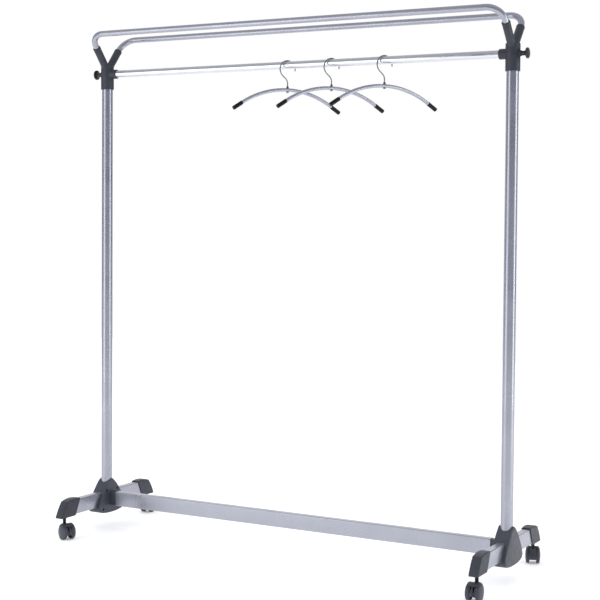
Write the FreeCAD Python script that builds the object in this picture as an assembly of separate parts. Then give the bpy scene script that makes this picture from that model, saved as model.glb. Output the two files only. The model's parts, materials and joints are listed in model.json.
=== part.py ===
import FreeCAD, Part
import math
import os

# Rolling clothes rack. Millimetres, +Z up. The origin is on the floor under the middle of the rack.
# X runs along the hanging bar, Y runs along the feet. +X is the right-hand side, -Y is the front.

Vec = FreeCAD.Vector
ORIGIN = Vec(0, 0, 0)
UP = Vec(0, 0, 1)

# upright posts
POST_X = 750.0
POST_RADIUS = 19.0
POST_TOP = 1575.0
TUBE_WALL = 1.2
FIT = 0.15

# hanging bar
BAR_Z = 1591.5
BAR_RADIUS = 12.5
BAR_END_X = 733.0

# Y connectors on top of the posts
SLEEVE_RADIUS = 22.5
SLEEVE_BOTTOM = 1539.0
SLEEVE_TOP = 1622.0
FORK_Z = 1603.0
ARM_ANGLE = 39.7
ARM_RADIUS = 12.9
ARM_LENGTH = 98.0
ARM_RIM_RADIUS = 13.3
ARM_RIM_LENGTH = 7.0
BAR_SOCKET_RADIUS = 16.0
BAR_SOCKET_X = 707.5

# top rails
RAIL_RADIUS = 10.0
RAIL_BEND = 50.0
RAIL_REACH = 152.0
RAIL_START = 58.0

# side pegs
PEG_BOSS_RADIUS = 9.0
PEG_BOSS_X = 776.0
PEG_GAP = 0.4
PEG_STEM_RADIUS = 7.2
PEG_HEAD_RADIUS = 16.5
PEG_END_X = 800.0
PEG_SHANK_RADIUS = 4.0
PEG_SHANK_LENGTH = 16.0
RUNNING_FIT = 0.05

# base: rectangular tubes
TUBE_HEIGHT = 50.0
TUBE_WIDTH = 25.0
TUBE_CORNER = 2.6
BASE_Z = 100.0
CROSSBAR_END_X = 702.0
FOOT_END_Y = 222.0

# hubs where the post, the foot tube and the crossbar meet
HUB_INNER_X = 726.0
HUB_OUTER_X = 775.5
HUB_SEAM = 0.3
HUB_APEX_Z = 169.0
HUB_BOTTOM_Z = 49.5
HUB_PROFILE = (
    (9.5, 165.0),
    (27.0, 149.0),
    (45.0, 127.5),
    (61.0, 104.5),
    (72.0, 85.0),
    (76.5, 71.5),
    (70.0, 60.5),
    (51.0, 53.5),
    (26.0, 50.3),
)
HUB_SCREWS = ((30.0, 130.0), (-30.0, 130.0), (50.0, 66.0), (-50.0, 66.0))
PLUG_REACH = 30.0

# end caps of the feet
CAP_WIDTH = 31.0
CAP_TOP_Z = 130.6
CAP_BOTTOM_Z = 71.5
CAP_TOP_END_Y = 238.0
CAP_MIDDLE_END_Y = 256.0
CAP_LOW_END_Y = 269.5
CAP_ROUNDING = 4.2

# casters
CASTER_Y = 238.0
CASTER_TRAIL = 18.5
WHEEL_RADIUS = 25.0
WHEEL_INNER = 10.5
WHEEL_RIM = 20.0
WHEEL_CROWN = 24.5
AXLE_RADIUS = 3.0
STEM_RADIUS = 5.5
STEM_BOTTOM_Z = 30.0
STEM_TOP_Z = 107.0
BOSS_TOP_Z = 50.5
HOOD_INNER = 26.0
HOOD_OUTER = 29.0
HOOD_HALF_WIDTH = 18.6
HOOD_LOW_Z = 15.0
CORE_RADIUS = 24.0
CORE_HALF_WIDTH = 9.8
CASTERS = {
    "front_left": (-POST_X, -CASTER_Y, -23.5),
    "front_right": (POST_X, -CASTER_Y, -88.5),
    "rear_left": (-POST_X, CASTER_Y, 100.0),
    "rear_right": (POST_X, CASTER_Y, 109.5),
}

# hangers
HANGERS = {"left": -23.7, "middle": 138.1, "right": 325.8}
HANGER_TURN = -31.0
HANGER_TOP_Z = 1511.5
HANGER_RADIUS = 5.9
HANGER_BEND = 315.0
HANGER_HALF_ANGLE = 32.0
TIP_LENGTH = 37.0
TIP_COVER = 27.0
TIP_RADIUS = 6.7
HOOK_WIRE = 2.0
HOOK_LOOP = 28.0
HOOK_CLEARANCE = 0.3
HOOK_TIP_ANGLE = -7.0
HOOK_TURN_ANGLE = 230.0
HOOK_BACK_RADIUS = 22.0


def cylinder(radius, start, direction, length):
    return Part.makeCylinder(radius, length, start, direction)


def spin(shape, degrees, centre=ORIGIN, axis=UP):
    turned = shape.copy()
    turned.rotate(centre, axis, degrees)
    return turned


def moved(shape, x, y, z):
    shifted = shape.copy()
    shifted.translate(Vec(x, y, z))
    return shifted


def fuse(*shapes):
    return shapes[0].fuse(list(shapes[1:])).removeSplitter()


def cut(shape, *tools):
    return shape.cut(list(tools)).removeSplitter()


def revolved(points, axis_point, axis):
    """Turn a closed outline of straight edges about an axis."""
    face = Part.Face(Part.makePolygon(points + points[:1]))
    return face.revolve(axis_point, axis, 360)


def parallel_edges(shape, direction):
    """The straight edges of a shape that run along a direction."""
    found = []
    for edge in shape.Edges:
        if isinstance(edge.Curve, Part.Line):
            if abs(edge.tangentAt(edge.FirstParameter).dot(direction)) > 0.999:
                found.append(edge)
    return found


def rounded_bar(x_size, y_size, z_size, radius, along):
    """A box about the origin with its four edges along one axis rounded."""
    corner = Vec(-x_size / 2, -y_size / 2, -z_size / 2)
    box = Part.makeBox(x_size, y_size, z_size, corner)
    return box.makeFillet(radius, parallel_edges(box, along))


def rectangular_tube(length, along):
    """A hollow 50 by 25 tube about the origin, with the tall side upright."""
    inner_height = TUBE_HEIGHT - 2 * TUBE_WALL
    inner_width = TUBE_WIDTH - 2 * TUBE_WALL
    inner_corner = TUBE_CORNER - TUBE_WALL
    if along.x:
        outer = rounded_bar(length, TUBE_WIDTH, TUBE_HEIGHT, TUBE_CORNER, along)
        inner = rounded_bar(length + 2, inner_width, inner_height, inner_corner, along)
    else:
        outer = rounded_bar(TUBE_WIDTH, length, TUBE_HEIGHT, TUBE_CORNER, along)
        inner = rounded_bar(inner_width, length + 2, inner_height, inner_corner, along)
    return moved(outer.cut(inner), 0, 0, BASE_Z)


def pipe(path, radius, start, direction):
    """Sweep a disc along a planar path of tangent lines and arcs."""
    circle = Part.Wire(Part.makeCircle(radius, start, direction))
    return Part.Wire(path).makePipeShell([circle], True, False)


def hollow_pipe(path, radius, wall, start, direction):
    return pipe(path, radius, start, direction).cut(pipe(path, radius - wall, start, direction))


# --- upper frame ---------------------------------------------------------------------------


def make_post():
    bottom = BASE_Z + TUBE_HEIGHT / 2
    start = Vec(POST_X, 0, bottom)
    outer = cylinder(POST_RADIUS, start, UP, POST_TOP - bottom)
    return outer.cut(cylinder(POST_RADIUS - TUBE_WALL, start, UP, POST_TOP - bottom))


def make_hanging_bar():
    start = Vec(-BAR_END_X, 0, BAR_Z)
    along = Vec(1, 0, 0)
    outer = cylinder(BAR_RADIUS, start, along, 2 * BAR_END_X)
    return outer.cut(cylinder(BAR_RADIUS - TUBE_WALL, start, along, 2 * BAR_END_X))


def arm_direction(side):
    angle = math.radians(ARM_ANGLE)
    return Vec(0, side * math.sin(angle), math.cos(angle))


def arm_point(side, reach, x=0.0):
    """A point on an arm's axis, or on the plane of that arm and the X axis."""
    return Vec(x, 0, FORK_Z) + arm_direction(side) * reach


def make_arm(side):
    arm = arm_direction(side)
    shaft = cylinder(ARM_RADIUS, arm_point(side, 0, POST_X), arm, ARM_LENGTH)
    rim_start = arm_point(side, ARM_LENGTH - ARM_RIM_LENGTH, POST_X)
    rim = cylinder(ARM_RIM_RADIUS, rim_start, arm, ARM_RIM_LENGTH)
    circles = [e for e in rim.Edges if isinstance(e.Curve, Part.Circle)]
    return shaft.fuse(rim.makeFillet(0.6, circles))


def make_bar_socket():
    start = Vec(POST_X, 0, BAR_Z)
    socket = cylinder(BAR_SOCKET_RADIUS, start, Vec(-1, 0, 0), POST_X - BAR_SOCKET_X)
    rim = [e for e in socket.Edges if abs(e.BoundBox.XMax - BAR_SOCKET_X) < 0.01]
    return socket.makeFillet(2.6, rim)


def make_y_connector():
    """The right-hand connector: a sleeve, two arms, the bar's socket and the peg's boss."""
    low = Vec(POST_X, 0, SLEEVE_BOTTOM)
    sleeve = cylinder(SLEEVE_RADIUS, low, UP, SLEEVE_TOP - SLEEVE_BOTTOM)
    rims = [e for e in sleeve.Edges if isinstance(e.Curve, Part.Circle)]
    sleeve = sleeve.makeFillet(1.2, rims)
    boss = cylinder(PEG_BOSS_RADIUS, Vec(POST_X, 0, BAR_Z), Vec(1, 0, 0), PEG_BOSS_X - POST_X)
    body = fuse(sleeve, make_arm(-1), make_arm(1), make_bar_socket(), boss)
    along = Vec(1, 0, 0)
    post_start = Vec(POST_X, 0, SLEEVE_BOTTOM - 1)
    bar_start = Vec(BAR_SOCKET_X - 1, 0, BAR_Z)
    peg_start = Vec(PEG_BOSS_X - 18, 0, BAR_Z)
    bores = [
        cylinder(POST_RADIUS + FIT, post_start, UP, POST_TOP - post_start.z),
        cylinder(BAR_RADIUS + FIT, bar_start, along, BAR_END_X - bar_start.x),
        cylinder(PEG_SHANK_RADIUS + RUNNING_FIT, peg_start, along, 20),
    ]
    for side in (-1, 1):
        start = arm_point(side, RAIL_START, POST_X)
        bores.append(cylinder(RAIL_RADIUS + FIT, start, arm_direction(side), ARM_LENGTH))
    return cut(body, *bores)


def make_rail(side):
    """A rail that rises from both sockets of its side and bends into one straight run."""
    arm = arm_direction(side)
    bend = RAIL_BEND
    half = math.sin(math.radians(45)) * bend
    left = [arm_point(side, RAIL_START, -POST_X), arm_point(side, RAIL_REACH - bend, -POST_X)]
    run = [arm_point(side, RAIL_REACH, bend - POST_X), arm_point(side, RAIL_REACH, POST_X - bend)]
    right = [arm_point(side, RAIL_REACH - bend, POST_X), arm_point(side, RAIL_START, POST_X)]
    left_mid = arm_point(side, RAIL_REACH - bend + half, bend - half - POST_X)
    right_mid = arm_point(side, RAIL_REACH - bend + half, POST_X - bend + half)
    path = [
        Part.makeLine(left[0], left[1]),
        Part.Arc(left[1], left_mid, run[0]).toShape(),
        Part.makeLine(run[0], run[1]),
        Part.Arc(run[1], right_mid, right[0]).toShape(),
        Part.makeLine(right[0], right[1]),
    ]
    return hollow_pipe(path, RAIL_RADIUS, TUBE_WALL, left[0], arm)


def make_peg():
    """The right-hand peg: a shank in the connector's boss, a stem and a flared head."""
    start = PEG_BOSS_X + PEG_GAP
    shank_start = PEG_BOSS_X - PEG_SHANK_LENGTH
    outline = [
        (shank_start, 0.0),
        (shank_start, PEG_SHANK_RADIUS),
        (start, PEG_SHANK_RADIUS),
        (start, PEG_STEM_RADIUS + 0.9),
        (start + 2.6, PEG_STEM_RADIUS + 0.9),
        (start + 3.2, PEG_STEM_RADIUS),
        (787.0, PEG_STEM_RADIUS),
        (790.0, 8.4),
        (792.2, 11.2),
        (793.8, PEG_HEAD_RADIUS - 0.6),
        (794.6, PEG_HEAD_RADIUS),
        (797.6, PEG_HEAD_RADIUS),
        (799.0, PEG_HEAD_RADIUS - 1.4),
        (PEG_END_X, PEG_HEAD_RADIUS - 5.5),
        (PEG_END_X, 0.0),
    ]
    points = [Vec(x, 0, BAR_Z + r) for x, r in outline]
    return revolved(points, Vec(POST_X, 0, BAR_Z), Vec(1, 0, 0))


# --- base ------------------------------------------------------------------------------------


def hub_outline(x):
    """A pointed arch, wide and rounded at the bottom, in the plane at x."""
    points = [Vec(x, 0, HUB_APEX_Z)]
    for y, z in HUB_PROFILE:
        points.append(Vec(x, y, z))
    points.append(Vec(x, 0, HUB_BOTTOM_Z))
    for y, z in reversed(HUB_PROFILE):
        points.append(Vec(x, -y, z))
    curve = Part.BSplineCurve()
    curve.interpolate(Points=points, PeriodicFlag=True)
    return Part.Face(Part.Wire([curve.toShape()]))


def hub_half(start, end, rounding):
    """One half of a hub, from the seam at start to the outside face at end."""
    solid = hub_outline(start).extrude(Vec(end - start, 0, 0))
    face_edges = []
    for edge in solid.Edges:
        box = edge.BoundBox
        if abs(box.XMin - end) < 0.5 and abs(box.XMax - end) < 0.5:
            face_edges.append(edge)
    return solid.makeFillet(rounding, face_edges)


def hub_channels():
    """The room that the foot tube and the post take in a hub."""
    foot = rounded_bar(TUBE_WIDTH + 2 * FIT, 240, TUBE_HEIGHT + 2 * FIT, TUBE_CORNER, Vec(0, 1, 0))
    post = cylinder(POST_RADIUS + FIT, Vec(POST_X, 0, BASE_Z), UP, 120)
    return [moved(foot, POST_X, 0, BASE_Z), post]


def make_hub_outer():
    half = hub_half(POST_X + HUB_SEAM / 2, HUB_OUTER_X, 4.5)
    tools = hub_channels()
    for y, z in HUB_SCREWS:
        tools.append(cylinder(2.0, Vec(POST_X - 1, y, z), Vec(1, 0, 0), 13))
    return cut(half, *tools)


def make_hub_inner():
    half = hub_half(POST_X - HUB_SEAM / 2, HUB_INNER_X, 2.5)
    block = rounded_bar(30, TUBE_WIDTH - 1.4, TUBE_HEIGHT - 1.8, 3.0, Vec(1, 0, 0))
    block = moved(block, CROSSBAR_END_X + 15, 0, BASE_Z)
    tongue_width = TUBE_WIDTH - 2 * TUBE_WALL - 2 * FIT
    tongue_height = TUBE_HEIGHT - 2 * TUBE_WALL - 2 * FIT
    tongue = rounded_bar(PLUG_REACH + 5, tongue_width, tongue_height, 2.0, Vec(1, 0, 0))
    tongue = moved(tongue, CROSSBAR_END_X - (PLUG_REACH - 5) / 2, 0, BASE_Z)
    tools = hub_channels()
    for y, z in HUB_SCREWS:
        tools.append(cylinder(4.6, Vec(HUB_INNER_X - 1, y, z), Vec(1, 0, 0), 9))
        tools.append(cylinder(2.3, Vec(HUB_INNER_X - 1, y, z), Vec(1, 0, 0), 40))
    return cut(fuse(half, block, tongue), *tools)


def make_hub_screws():
    """Four pan-head screws, put in from the inner side."""
    screws = []
    for y, z in HUB_SCREWS:
        seat = Vec(HUB_INNER_X + 8, y, z)
        head = cylinder(3.8, Vec(HUB_INNER_X + 5.4, y, z), Vec(1, 0, 0), 2.6)
        rim = [e for e in head.Edges if abs(e.BoundBox.XMax - HUB_INNER_X - 5.4) < 0.01]
        head = head.makeFillet(0.8, rim)
        shank = cylinder(1.9, seat, Vec(1, 0, 0), POST_X + 11 - seat.x)
        slot = Part.makeBox(1.4, 5.0, 1.1, Vec(HUB_INNER_X + 5.3, y - 2.5, z - 0.55))
        cross = Part.makeBox(1.4, 1.1, 5.0, Vec(HUB_INNER_X + 5.3, y - 0.55, z - 2.5))
        screws.append(cut(fuse(head, shank), slot, cross))
    return Part.makeCompound(screws)


def cap_outline(x):
    """The side profile of the front right cap: slanting ends and a crowned top."""
    top_in = Vec(x, -170, CAP_TOP_Z - 2.2)
    top_out = Vec(x, -CAP_TOP_END_Y, CAP_TOP_Z - 6.0)
    low_out = Vec(x, -CAP_LOW_END_Y, CAP_BOTTOM_Z)
    low_in = Vec(x, -196.5, CAP_BOTTOM_Z)
    edges = [
        Part.Arc(top_in, Vec(x, -205, CAP_TOP_Z), top_out).toShape(),
        Part.Arc(top_out, Vec(x, -CAP_MIDDLE_END_Y, 99), low_out).toShape(),
        Part.makeLine(low_out, low_in),
        Part.makeLine(low_in, top_in),
    ]
    return Part.Face(Part.Wire(edges))


def make_foot_cap():
    """The front right cap, with a hood over the tube and a socket for the caster's stem."""
    cap = cap_outline(POST_X - CAP_WIDTH / 2).extrude(Vec(CAP_WIDTH, 0, 0))
    across = parallel_edges(cap, Vec(1, 0, 0))
    cap = cap.makeFillet(9.0, [e for e in across if e.BoundBox.YMax < -230 and e.BoundBox.ZMin > 100])
    side_edges = []
    for edge in cap.Edges:
        box = edge.BoundBox
        if box.XMax - box.XMin < 0.01 and box.YMax < -171 and box.ZMax > CAP_BOTTOM_Z + 1:
            side_edges.append(edge)
    cap = cap.makeFillet(CAP_ROUNDING, side_edges)
    low_rim = [e for e in cap.Edges if e.BoundBox.ZMax < CAP_BOTTOM_Z + 0.1 and e.BoundBox.YMin < -197]
    cap = cap.makeFillet(1.5, low_rim)
    room_start = Vec(POST_X - TUBE_WIDTH / 2 - FIT, -FOOT_END_Y, 74.8)
    room = Part.makeBox(TUBE_WIDTH + 2 * FIT, 90, 51.6, room_start)
    socket = cylinder(STEM_RADIUS + RUNNING_FIT, Vec(POST_X, -CASTER_Y, CAP_BOTTOM_Z - 1), UP, 37.5)
    return cut(cap, room, socket)


# --- casters -----------------------------------------------------------------------------------
# Each caster is made with its stem on the Z axis and trailing along +X, then turned and moved.


def make_caster_stem():
    stem = cylinder(STEM_RADIUS, Vec(0, 0, STEM_BOTTOM_Z), UP, STEM_TOP_Z - STEM_BOTTOM_Z)
    top = [e for e in stem.Edges if abs(e.BoundBox.ZMin - STEM_TOP_Z) < 0.01]
    return fuse(stem.makeFillet(1.0, top), cylinder(6.7, Vec(0, 0, 66.0), UP, 5.2))


def hood_ring():
    """The part of the hood that follows the wheels, from the stem side over the top."""
    axle = Vec(CASTER_TRAIL, -HOOD_HALF_WIDTH, WHEEL_RADIUS)
    across = Vec(0, 1, 0)
    outer = cylinder(HOOD_OUTER, axle, across, 2 * HOOD_HALF_WIDTH)
    rims = [e for e in outer.Edges if isinstance(e.Curve, Part.Circle)]
    ring = outer.makeFillet(2.2, rims).cut(cylinder(HOOD_INNER, axle, across, 2 * HOOD_HALF_WIDTH))
    low = Part.makeBox(60, 60, 30, Vec(CASTER_TRAIL - 60, -30, HOOD_LOW_Z - 30))
    behind = Part.makeBox(60, 60, 90, Vec(0, -30, -90))
    behind = moved(spin(behind, -50, ORIGIN, Vec(0, 1, 0)), CASTER_TRAIL, 0, WHEEL_RADIUS)
    return ring.cut([low, behind])


def make_caster_housing():
    """A hood over both wheels, a core between them and a boss for the stem."""
    across = Vec(0, 1, 0)
    core_start = Vec(CASTER_TRAIL, -CORE_HALF_WIDTH, WHEEL_RADIUS)
    core = cylinder(CORE_RADIUS, core_start, across, 2 * CORE_HALF_WIDTH)
    web = cylinder(HOOD_INNER + 1, Vec(CASTER_TRAIL, -3.5, WHEEL_RADIUS), across, 7)
    boss = cylinder(8.6, Vec(0, 0, 20), UP, BOSS_TOP_Z - 20)
    top = [e for e in boss.Edges if abs(e.BoundBox.ZMin - BOSS_TOP_Z) < 0.01]
    boss = boss.makeFillet(1.5, top)
    shield = Part.makeBox(9, 18.6, 34, Vec(-9.5, -9.3, HOOD_LOW_Z))
    body = fuse(core, web, boss, shield, hood_ring())
    low = Part.makeBox(90, 60, 30, Vec(-30, -30, HOOD_LOW_Z - 30))
    axle_bore = cylinder(AXLE_RADIUS + FIT, Vec(CASTER_TRAIL, -30, WHEEL_RADIUS), across, 60)
    stem_bore = cylinder(STEM_RADIUS + FIT, Vec(0, 0, STEM_BOTTOM_Z), UP, 40)
    keep = cylinder(HOOD_OUTER, Vec(CASTER_TRAIL, -30, WHEEL_RADIUS), across, 60)
    body = body.common(keep.fuse(Part.makeBox(18, 18, 40, Vec(-9, -9, 20))))
    pockets = [Part.makeBox(14, 5.4, 15, Vec(CASTER_TRAIL + 10, y, 29)) for y in (-7.0, 1.6)]
    notch = Part.makePolygon([
        Vec(CASTER_TRAIL + 30, -6, HOOD_LOW_Z - 1),
        Vec(CASTER_TRAIL + 30, 0, HOOD_LOW_Z + 7),
        Vec(CASTER_TRAIL + 30, 6, HOOD_LOW_Z - 1),
        Vec(CASTER_TRAIL + 30, -6, HOOD_LOW_Z - 1),
    ])
    notch = Part.Face(notch).extrude(Vec(-30, 0, 0))
    return cut(body, low, axle_bore, stem_bore, notch, *pockets)


def make_caster_axle():
    return cylinder(AXLE_RADIUS, Vec(CASTER_TRAIL, -19, WHEEL_RADIUS), Vec(0, 1, 0), 38)


def wheel_outline():
    """Half the section of a wheel as (distance from the middle, radius) pairs."""
    crown = []
    for step in range(0, 7):
        radius = 23.4 * step / 6
        crown.append((WHEEL_CROWN - (WHEEL_CROWN - WHEEL_RIM - 1.1) * (radius / 23.4) ** 2, radius))
    rim = [(WHEEL_RIM + 0.2, 24.6), (WHEEL_RIM - 1.0, WHEEL_RADIUS), (WHEEL_INNER + 1, WHEEL_RADIUS)]
    inside = [
        (WHEEL_INNER, WHEEL_RADIUS - 1),
        (WHEEL_INNER, 20.5),
        (WHEEL_RIM - 2.5, 20.0),
        (WHEEL_RIM - 2.5, 6.5),
        (WHEEL_INNER, 6.0),
        (WHEEL_INNER, AXLE_RADIUS + RUNNING_FIT),
        (19.5, AXLE_RADIUS + RUNNING_FIT),
        (19.5, 0.0),
    ]
    return crown + rim + inside


def make_caster_wheel(side):
    """A cup-shaped wheel with six ribs, open towards the housing."""
    points = [Vec(0, side * across, radius) for across, radius in wheel_outline()]
    wheel = revolved(points, ORIGIN, Vec(0, side, 0))
    low = min(side * WHEEL_INNER, side * (WHEEL_RIM - 2)) + (0 if side < 0 else 1.5)
    ribs = []
    for step in range(6):
        rib = Part.makeBox(1.6, WHEEL_RIM - 3.5 - WHEEL_INNER, 16, Vec(-0.8, low, 5.8))
        ribs.append(spin(rib, 60 * step, ORIGIN, Vec(0, 1, 0)))
    return moved(fuse(wheel, *ribs), CASTER_TRAIL, 0, WHEEL_RADIUS)


# --- hangers -----------------------------------------------------------------------------------
# Each hanger is made along Y with its stem on the Z axis, then turned and moved along the bar.


def make_hook():
    """Wire with a loop over the bar, a curve back under it and a riveted lower end."""
    centre_z = BAR_Z + BAR_RADIUS + HOOK_CLEARANCE + HOOK_WIRE - HOOK_LOOP
    centre = Vec(0, 0, centre_z)

    def on_loop(degrees):
        angle = math.radians(degrees)
        return centre + Vec(0, math.cos(angle), math.sin(angle)) * HOOK_LOOP

    tip = on_loop(HOOK_TIP_ANGLE)
    turn = on_loop(HOOK_TURN_ANGLE)
    heading = math.radians(HOOK_TURN_ANGLE + 90)
    forward = Vec(0, math.cos(heading), math.sin(heading))
    swing = heading - math.radians(270)
    bend_y = HOOK_BACK_RADIUS * (math.cos(swing) - 1)
    bend = turn + forward * ((bend_y - turn.y) / forward.y)
    back_z = bend.z - HOOK_BACK_RADIUS * math.sin(swing)
    half_y = HOOK_BACK_RADIUS * (math.cos(swing / 2) - 1)
    bend_mid = Vec(0, half_y, back_z + HOOK_BACK_RADIUS * math.sin(swing / 2))
    stem_top = Vec(0, 0, back_z)
    stem_end = Vec(0, 0, HANGER_TOP_Z - HANGER_RADIUS - 3.0)
    path = [
        Part.Arc(tip, on_loop((HOOK_TIP_ANGLE + HOOK_TURN_ANGLE) / 2), turn).toShape(),
        Part.makeLine(turn, bend),
        Part.Arc(bend, bend_mid, stem_top).toShape(),
        Part.makeLine(stem_top, stem_end),
    ]
    angle = math.radians(HOOK_TIP_ANGLE)
    wire = pipe(path, HOOK_WIRE, tip, Vec(0, -math.sin(angle), math.cos(angle)))
    ball = Part.makeSphere(HOOK_WIRE, tip)
    rivet_top = HANGER_TOP_Z - HANGER_RADIUS - 0.4
    rivet = cylinder(4.2, Vec(0, 0, rivet_top - 3.6), UP, 3.6)
    rims = [e for e in rivet.Edges if abs(e.BoundBox.ZMax - rivet_top + 3.6) < 0.01]
    return fuse(wire, ball, rivet.makeFillet(1.4, rims))


def hanger_point(degrees):
    """A point on the body's arched centreline, counted from the middle."""
    angle = math.radians(degrees)
    low = HANGER_TOP_Z - HANGER_BEND
    return Vec(0, HANGER_BEND * math.sin(angle), low + HANGER_BEND * math.cos(angle))


def hanger_end_direction(side):
    angle = math.radians(HANGER_HALF_ANGLE)
    return Vec(0, side * math.cos(angle), -math.sin(angle))


def make_hanger_body():
    half = HANGER_HALF_ANGLE
    left_end = hanger_point(-half)
    right_end = hanger_point(half)
    left_tip = left_end + hanger_end_direction(-1) * TIP_COVER
    right_tip = right_end + hanger_end_direction(1) * TIP_COVER
    path = [
        Part.makeLine(left_tip, left_end),
        Part.Arc(left_end, hanger_point(0), right_end).toShape(),
        Part.makeLine(right_end, right_tip),
    ]
    tube = hollow_pipe(path, HANGER_RADIUS, TUBE_WALL, left_tip, hanger_end_direction(-1))
    hole = cylinder(HOOK_WIRE + RUNNING_FIT, Vec(0, 0, HANGER_TOP_Z - 20), UP, 40)
    return tube.cut(hole)


def make_hanger_tips():
    """Two rubber caps, each with a blind bore for the tube's end."""
    tips = []
    for side in (-1, 1):
        along = hanger_end_direction(side)
        start = hanger_point(side * HANGER_HALF_ANGLE)
        cap = cylinder(TIP_RADIUS, start, along, TIP_LENGTH)
        far = start + along * TIP_LENGTH
        rim = [e for e in cap.Edges if e.CenterOfMass.distanceToPoint(far) < 0.5]
        cap = cap.makeFillet(2.2, rim)
        tips.append(cap.cut(cylinder(HANGER_RADIUS + FIT, start - along, along, TIP_COVER + 1)))
    return Part.makeCompound(tips)


def make_hanger_collar():
    """The collar round the hook's stem, shaped to sit on the arched tube."""
    start = Vec(0, 0, HANGER_TOP_Z + 2.5)
    collar = cylinder(3.9, start, UP, 9.0)
    rim = [e for e in collar.Edges if abs(e.BoundBox.ZMin - HANGER_TOP_Z - 11.5) < 0.01]
    collar = collar.makeFillet(1.3, rim)
    bore = cylinder(HOOK_WIRE + RUNNING_FIT, start, UP, 20)
    arch_centre = Vec(0, 0, HANGER_TOP_Z - HANGER_BEND)
    seat = Part.makeTorus(HANGER_BEND, HANGER_RADIUS + 0.1, arch_centre, Vec(1, 0, 0))
    return cut(collar, bore, seat)


# --- assembly ----------------------------------------------------------------------------------


def build_frame():
    nodes = {}
    right = {
        "post": make_post(),
        "y_connector": make_y_connector(),
        "peg": make_peg(),
        "hub_outer": make_hub_outer(),
        "hub_inner": make_hub_inner(),
        "hub_screws": make_hub_screws(),
        "foot_tube": moved(rectangular_tube(2 * FOOT_END_Y, Vec(0, 1, 0)), POST_X, 0, 0),
    }
    for name, shape in right.items():
        nodes["right_" + name] = shape
        nodes["left_" + name] = spin(shape, 180)
    nodes["hanging_bar"] = make_hanging_bar()
    nodes["front_rail"] = make_rail(-1)
    nodes["rear_rail"] = make_rail(1)
    nodes["base_crossbar"] = rectangular_tube(2 * CROSSBAR_END_X, Vec(1, 0, 0))
    cap = make_foot_cap()
    nodes["front_right_foot_cap"] = cap
    nodes["rear_right_foot_cap"] = spin(cap, 180, Vec(POST_X, 0, 0))
    nodes["front_left_foot_cap"] = moved(cap, -2 * POST_X, 0, 0)
    nodes["rear_left_foot_cap"] = spin(cap, 180)
    return nodes


def build_casters():
    nodes = {}
    pieces = {
        "stem": make_caster_stem(),
        "housing": make_caster_housing(),
        "axle": make_caster_axle(),
        "wheel_a": make_caster_wheel(1),
        "wheel_b": make_caster_wheel(-1),
    }
    for place, (x, y, heading) in CASTERS.items():
        for name, shape in pieces.items():
            nodes[place + "_caster_" + name] = moved(spin(shape, heading), x, y, 0)
    return nodes


def build_hangers():
    nodes = {}
    pieces = {
        "hook": make_hook(),
        "body": make_hanger_body(),
        "tips": make_hanger_tips(),
        "collar": make_hanger_collar(),
    }
    for place, x in HANGERS.items():
        for name, shape in pieces.items():
            nodes[place + "_hanger_" + name] = moved(spin(shape, HANGER_TURN), x, 0, 0)
    return nodes


def main():
    os.makedirs("parts", exist_ok=True)
    nodes = {**build_frame(), **build_casters(), **build_hangers()}
    for name, shape in nodes.items():
        shape.exportStep("parts/" + name + ".step")
        box = shape.BoundBox
        print(
            f"{name:34s} solids {len(shape.Solids)} valid {shape.isValid()} vol {shape.Volume / 1000:8.2f}"
            f" x {box.XMin:8.2f} {box.XMax:8.2f} y {box.YMin:8.2f} {box.YMax:8.2f} z {box.ZMin:8.2f} {box.ZMax:8.2f}"
        )
    print(len(nodes), "nodes")


main()
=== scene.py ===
import bpy
import json
import math
from mathutils import Matrix, Vector

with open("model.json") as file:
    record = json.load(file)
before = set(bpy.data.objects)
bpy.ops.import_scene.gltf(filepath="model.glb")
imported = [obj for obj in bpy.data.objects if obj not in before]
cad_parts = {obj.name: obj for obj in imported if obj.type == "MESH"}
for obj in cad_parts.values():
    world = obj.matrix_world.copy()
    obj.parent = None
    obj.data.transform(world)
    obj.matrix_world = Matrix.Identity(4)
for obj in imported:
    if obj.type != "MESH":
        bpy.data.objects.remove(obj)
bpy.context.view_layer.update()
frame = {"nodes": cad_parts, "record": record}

# --- camera --------------------------------------------------------------------------------------
# Places are in metres, angles in degrees, and the lens and sensor in millimetres.
CAMERA_PLACE = Vector((2.2404, -3.9923, 1.1070))
CAMERA_YAW = 28.998
CAMERA_PITCH = 2.302
CAMERA_ROLL = -0.411
CAMERA_LENS = 84.13
CAMERA_SHIFT_Y = -0.04887


def make_camera():
    yaw, pitch, roll = (math.radians(v) for v in (CAMERA_YAW, CAMERA_PITCH, CAMERA_ROLL))
    forward = Vector((-math.sin(yaw) * math.cos(pitch), math.cos(yaw) * math.cos(pitch), -math.sin(pitch)))
    right = Vector((math.cos(yaw), math.sin(yaw), 0.0))
    down = forward.cross(right)
    right_rolled = right * math.cos(roll) + down * math.sin(roll)
    down_rolled = down * math.cos(roll) - right * math.sin(roll)
    data = bpy.data.cameras.new("camera")
    data.sensor_width = 36.0
    data.lens = CAMERA_LENS
    data.shift_y = CAMERA_SHIFT_Y
    data.clip_end = 60.0
    camera = bpy.data.objects.new("camera", data)
    axes = Matrix((right_rolled, -down_rolled, -forward)).transposed()
    camera.matrix_world = Matrix.Translation(CAMERA_PLACE) @ axes.to_4x4()
    bpy.context.scene.collection.objects.link(camera)
    bpy.context.scene.camera = camera


make_camera()

# --- materials -----------------------------------------------------------------------------------
# Every texture works in the object's own metres, so grain and flake keep their real size.

# Sockets of a Mix node that mixes colours: the two inputs and the output.
MIX_FIRST, MIX_SECOND, MIX_RESULT = 6, 7, 2


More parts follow.
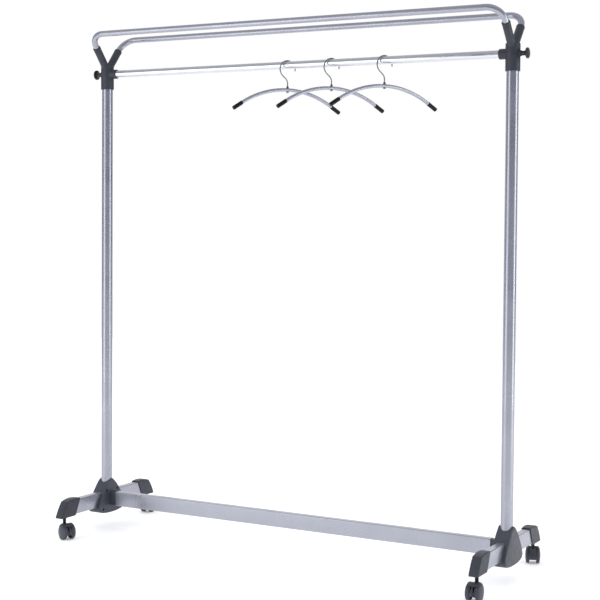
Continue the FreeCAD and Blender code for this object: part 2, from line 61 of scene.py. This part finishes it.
class Look:
    """A node material built step by step round one Principled shader."""

    def __init__(self, name, metallic=0.0):
        self.material = bpy.data.materials.new(name)
        self.material.use_nodes = True
        self.tree = self.material.node_tree
        self.shader = self.tree.nodes["Principled BSDF"]
        self.shader.inputs["Metallic"].default_value = metallic
        self.place = self.tree.nodes.new("ShaderNodeTexCoord").outputs["Object"]
        self.normal = None

    def node(self, kind, **settings):
        made = self.tree.nodes.new(kind)
        for key, value in settings.items():
            setattr(made, key, value)
        return made

    def link(self, source, target):
        self.tree.links.new(source, target)

    def stretched(self, scale):
        mapping = self.node("ShaderNodeMapping")
        mapping.inputs["Scale"].default_value = scale
        self.link(self.place, mapping.inputs["Vector"])
        return mapping.outputs["Vector"]

    def noise(self, scale, detail=2.0, roughness=0.5, stretch=None):
        made = self.node("ShaderNodeTexNoise")
        made.inputs["Scale"].default_value = scale
        made.inputs["Detail"].default_value = detail
        made.inputs["Roughness"].default_value = roughness
        self.link(self.stretched(stretch) if stretch else self.place, made.inputs["Vector"])
        return made.outputs["Fac"]

    def cells(self, scale):
        made = self.node("ShaderNodeTexVoronoi")
        made.inputs["Scale"].default_value = scale
        self.link(self.place, made.inputs["Vector"])
        split = self.node("ShaderNodeSeparateColor")
        self.link(made.outputs["Color"], split.inputs["Color"])
        return split.outputs["Red"]

    def spread(self, value, low, high, start=0.3, end=0.7):
        made = self.node("ShaderNodeMapRange")
        made.inputs["From Min"].default_value = start
        made.inputs["From Max"].default_value = end
        made.inputs["To Min"].default_value = low
        made.inputs["To Max"].default_value = high
        self.link(value, made.inputs["Value"])
        return made.outputs["Result"]

    def edges(self, radius):
        """1 on sharp edges and 0 on flat faces, by comparing bevelled and plain normals."""
        bevel = self.node("ShaderNodeBevel", samples=4)
        bevel.inputs["Radius"].default_value = radius
        plain = self.node("ShaderNodeNewGeometry")
        dot = self.node("ShaderNodeVectorMath", operation="DOT_PRODUCT")
        self.link(bevel.outputs["Normal"], dot.inputs[0])
        self.link(plain.outputs["Normal"], dot.inputs[1])
        return self.spread(dot.outputs["Value"], 1.0, 0.0, 0.75, 0.99)

    def product(self, first, second):
        made = self.node("ShaderNodeMath", operation="MULTIPLY")
        self.link(first, made.inputs[0])
        self.link(second, made.inputs[1])
        return made.outputs["Value"]

    def blend_colours(self, factor, dark, light):
        """Two colours mixed by a factor. Each colour is a fixed one or comes from a node."""
        made = self.node("ShaderNodeMix", data_type="RGBA")
        self.link(factor, made.inputs["Factor"])
        for socket, colour in ((made.inputs[MIX_FIRST], dark), (made.inputs[MIX_SECOND], light)):
            if isinstance(colour, tuple):
                socket.default_value = (*colour, 1)
            else:
                self.link(colour, socket)
        return made.outputs[MIX_RESULT]

    def colour(self, source):
        self.link(source, self.shader.inputs["Base Color"])

    def roughness(self, source):
        self.link(source, self.shader.inputs["Roughness"])

    def bump(self, value, distance, strength=1.0):
        made = self.node("ShaderNodeBump")
        made.inputs["Distance"].default_value = distance
        made.inputs["Strength"].default_value = strength
        self.link(value, made.inputs["Height"])
        if self.normal is not None:
            self.link(self.normal, made.inputs["Normal"])
        self.normal = made.outputs["Normal"]
        self.link(self.normal, self.shader.inputs["Normal"])


def metallic_paint(name, dark, light, roughness):
    """Sprayed silver: fine aluminium flake, a slight orange peel, soft smudges and bright worn edges."""
    look = Look(name, metallic=0.82)
    flake = look.spread(look.cells(1300.0), 0.2, 0.8, 0.0, 1.0)
    cloud = look.noise(9.0, 2.0)
    tone = look.product(flake, look.spread(cloud, 0.75, 1.25))
    body = look.blend_colours(tone, dark, light)
    worn = tuple(min(1.0, c * 1.18) for c in light)
    wear = look.product(look.edges(0.0008), look.spread(look.noise(140.0, 2.0), 0.1, 0.7))
    look.colour(look.blend_colours(wear, body, worn))
    smudge = look.noise(11.0, 1.5, 0.4)
    look.roughness(look.spread(smudge, roughness - 0.04, roughness + 0.07))
    look.bump(look.noise(160.0, 1.0), 0.000012, 0.5)
    return look.material


def plated(name, dark, light, roughness):
    """Plated or blackened metal: faint drawn lines along X, smudges and small pits."""
    look = Look(name, metallic=1.0)
    drawn = look.noise(60.0, 3.0, 0.6, stretch=(0.4, 22.0, 22.0))
    look.colour(look.blend_colours(look.spread(drawn, 0.0, 1.0), dark, light))
    smudge = look.noise(14.0, 4.0, 0.65)
    look.roughness(look.spread(smudge, roughness - 0.04, roughness + 0.09))
    look.bump(drawn, 0.000008, 0.4)
    look.bump(look.noise(900.0, 1.0), 0.000002, 0.3)
    return look.material


def moulded(name, dark, light, roughness, grain=1500.0, depth=0.00006):
    """Moulded plastic: fine spark-eroded grain, slow tone changes, and rubbed, paler edges."""
    look = Look(name)
    look.shader.inputs["Specular IOR Level"].default_value = 0.36
    tone = look.noise(18.0, 4.0, 0.55)
    body = look.blend_colours(look.spread(tone, 0.0, 1.0), dark, light)
    rubbed = tuple(min(1.0, c * 1.9 + 0.01) for c in light)
    wear = look.product(look.edges(0.0012), look.spread(look.noise(160.0, 3.0), 0.15, 0.9))
    look.colour(look.blend_colours(wear, body, rubbed))
    fine = look.noise(grain, 2.0)
    look.roughness(look.spread(look.noise(70.0, 3.0), roughness - 0.06, roughness + 0.07))
    look.bump(fine, depth, 0.5)
    look.bump(look.noise(35.0, 2.0), 0.0002, 0.12)
    return look.material


def rubber(name, dark, light):
    """Dipped rubber: soft, slightly waxy, with tiny dimples."""
    look = Look(name)
    look.shader.inputs["Specular IOR Level"].default_value = 0.22
    look.colour(look.blend_colours(look.spread(look.noise(90.0, 4.0), 0.0, 1.0), dark, light))
    look.roughness(look.spread(look.noise(60.0, 3.0), 0.34, 0.5))
    look.bump(look.cells(700.0), 0.00004, 0.35)
    look.bump(look.noise(120.0, 2.0), 0.00015, 0.3)
    return look.material


MATERIALS = {
    "silver_paint": metallic_paint("silver_paint", (0.330, 0.340, 0.392), (0.425, 0.435, 0.490), 0.27),
    "bar_chrome": plated("bar_chrome", (0.58, 0.59, 0.62), (0.72, 0.73, 0.76), 0.15),
    "charcoal_plastic": moulded("charcoal_plastic", (0.027, 0.031, 0.041), (0.039, 0.044, 0.057), 0.46),
    "hub_plastic": moulded("hub_plastic", (0.039, 0.044, 0.057), (0.054, 0.060, 0.076), 0.44),
    "peg_plastic": moulded("peg_plastic", (0.014, 0.016, 0.020), (0.022, 0.024, 0.030), 0.34),
    "caster_plastic": moulded("caster_plastic", (0.027, 0.030, 0.039), (0.040, 0.044, 0.055), 0.44),
    "wheel_plastic": moulded("wheel_plastic", (0.035, 0.039, 0.051), (0.050, 0.056, 0.072), 0.40),
    "stem_black": plated("stem_black", (0.018, 0.018, 0.020), (0.035, 0.035, 0.038), 0.42),
    "screw_steel": plated("screw_steel", (0.16, 0.16, 0.17), (0.26, 0.26, 0.27), 0.30),
    "hook_chrome": plated("hook_chrome", (0.20, 0.205, 0.22), (0.30, 0.305, 0.32), 0.24),
    "tip_rubber": rubber("tip_rubber", (0.003, 0.003, 0.004), (0.007, 0.007, 0.008)),
    "collar_plastic": moulded("collar_plastic", (0.050, 0.052, 0.060), (0.070, 0.072, 0.082), 0.40),
}


def smooth(piece, angle=32.0):
    """Weld the facets and shade them smooth, but keep edges sharper than the angle."""
    piece.data.polygons.foreach_set("use_smooth", [True] * len(piece.data.polygons))
    weld = piece.modifiers.new("weld", "WELD")
    weld.merge_threshold = 0.000002
    split = piece.modifiers.new("split", "EDGE_SPLIT")
    split.split_angle = math.radians(angle)


def dress_cad_nodes():
    for part in frame["record"]["subparts"]:
        piece = frame["nodes"][part["node"]]
        piece.data.materials.clear()
        piece.data.materials.append(MATERIALS[part["material_slot"]])
        smooth(piece)


dress_cad_nodes()

# --- floor, lights and world ---------------------------------------------------------------------

FLOOR_HALF = 6.0
FLOOR_GLOW = 0.22
DARK_SIDE = (0.25, 0.26, 0.31)
DOME = (0.57, 0.58, 0.61)
WHITE = (1.0, 1.0, 1.0)

# The backdrop is the bright side of the room; the ramps are (start, end) of each smooth change.
BACKDROP_DIRECTION = (-0.55, 0.83, 0.05)
BACKDROP_RAMP = (0.35, 1.0)
DOME_RAMP = (0.08, 0.75)

OVERHEAD_PLACE = (-0.6, -1.2, 4.0)
OVERHEAD_STRENGTH = 1.8
OVERHEAD_ANGLE = 150.0
BOX_TARGET = (0, 0, 1.0)
LEFT_BOX = {"place": (-2.3, -3.6, 1.1), "size": (2.2, 3.4), "power": 46}
RIGHT_BOX = {"place": (4.2, 0.9, 1.1), "size": (1.3, 3.4), "power": 50}


def make_floor():
    """A pale matt floor that glows a little, so the shadows under the casters stay light."""
    mesh = bpy.data.meshes.new("floor")
    half = FLOOR_HALF
    corners = [(-half, -half, 0), (half, -half, 0), (half, half, 0), (-half, half, 0)]
    mesh.from_pydata(corners, [], [(0, 1, 2, 3)])
    floor = bpy.data.objects.new("floor", mesh)
    look = Look("floor")
    look.colour(look.blend_colours(look.noise(6.0, 3.0), (0.86, 0.86, 0.87), (0.90, 0.90, 0.90)))
    look.roughness(look.spread(look.noise(2.0), 0.85, 0.95))
    look.shader.inputs["Emission Color"].default_value = (*WHITE, 1)
    look.shader.inputs["Emission Strength"].default_value = FLOOR_GLOW
    mesh.materials.append(look.material)
    bpy.context.scene.collection.objects.link(floor)


def hang_light(name, kind, place, target, power):
    data = bpy.data.lights.new(name, kind)
    data.energy = power
    light = bpy.data.objects.new(name, data)
    light.location = place
    light.rotation_mode = "QUATERNION"
    light.rotation_quaternion = (Vector(target) - Vector(place)).to_track_quat("-Z", "Y")
    light.visible_camera = False
    bpy.context.scene.collection.objects.link(light)
    return light


def softbox(name, place, size, power):
    light = hang_light(name, "AREA", place, BOX_TARGET, power)
    light.data.shape = "RECTANGLE"
    light.data.size, light.data.size_y = size


def make_overhead():
    """Even light from above, too wide to throw a hard shadow and not seen in reflections."""
    light = hang_light("overhead", "SUN", OVERHEAD_PLACE, (0, 0, 0), OVERHEAD_STRENGTH)
    light.data.angle = math.radians(OVERHEAD_ANGLE)
    light.visible_glossy = False


def smooth_ramp(nodes, span):
    """A smooth step from 0 to 1 between the two ends of a span."""
    ramp = nodes.new("ShaderNodeMapRange")
    ramp.interpolation_type = "SMOOTHSTEP"
    ramp.inputs["From Min"].default_value, ramp.inputs["From Max"].default_value = span
    return ramp


def colour_mix(nodes):
    """A Mix node that mixes colours."""
    mix = nodes.new("ShaderNodeMix")
    mix.data_type = "RGBA"
    return mix


def make_world():
    """A studio that is white behind the rack and darker on the camera's side.

    Only light and reflections meet the darker side: the camera itself sees plain white.
    """
    world = bpy.data.worlds.new("studio")
    world.use_nodes = True
    nodes, links = world.node_tree.nodes, world.node_tree.links
    direction = nodes.new("ShaderNodeTexCoord")
    dot = nodes.new("ShaderNodeVectorMath")
    dot.operation = "DOT_PRODUCT"
    dot.inputs[1].default_value = BACKDROP_DIRECTION
    links.new(direction.outputs["Generated"], dot.inputs[0])
    ramp = smooth_ramp(nodes, BACKDROP_RAMP)
    links.new(dot.outputs["Value"], ramp.inputs["Value"])
    split = nodes.new("ShaderNodeSeparateXYZ")
    links.new(direction.outputs["Generated"], split.inputs["Vector"])
    height = smooth_ramp(nodes, DOME_RAMP)
    links.new(split.outputs["Z"], height.inputs["Value"])
    front = colour_mix(nodes)
    front.inputs[MIX_FIRST].default_value = (*DARK_SIDE, 1)
    front.inputs[MIX_SECOND].default_value = (*DOME, 1)
    links.new(height.outputs["Result"], front.inputs["Factor"])
    room = colour_mix(nodes)
    room.inputs[MIX_SECOND].default_value = (*WHITE, 1)
    links.new(front.outputs[MIX_RESULT], room.inputs[MIX_FIRST])
    links.new(ramp.outputs["Result"], room.inputs["Factor"])
    seen = colour_mix(nodes)
    seen.inputs[MIX_SECOND].default_value = (*WHITE, 1)
    links.new(nodes.new("ShaderNodeLightPath").outputs["Is Camera Ray"], seen.inputs["Factor"])
    links.new(room.outputs[MIX_RESULT], seen.inputs[MIX_FIRST])
    links.new(seen.outputs[MIX_RESULT], nodes["Background"].inputs["Color"])
    bpy.context.scene.world = world


make_floor()
make_world()
make_overhead()
softbox("left_box", **LEFT_BOX)
softbox("right_box", **RIGHT_BOX)
bpy.context.scene.view_settings.view_transform = "Standard"
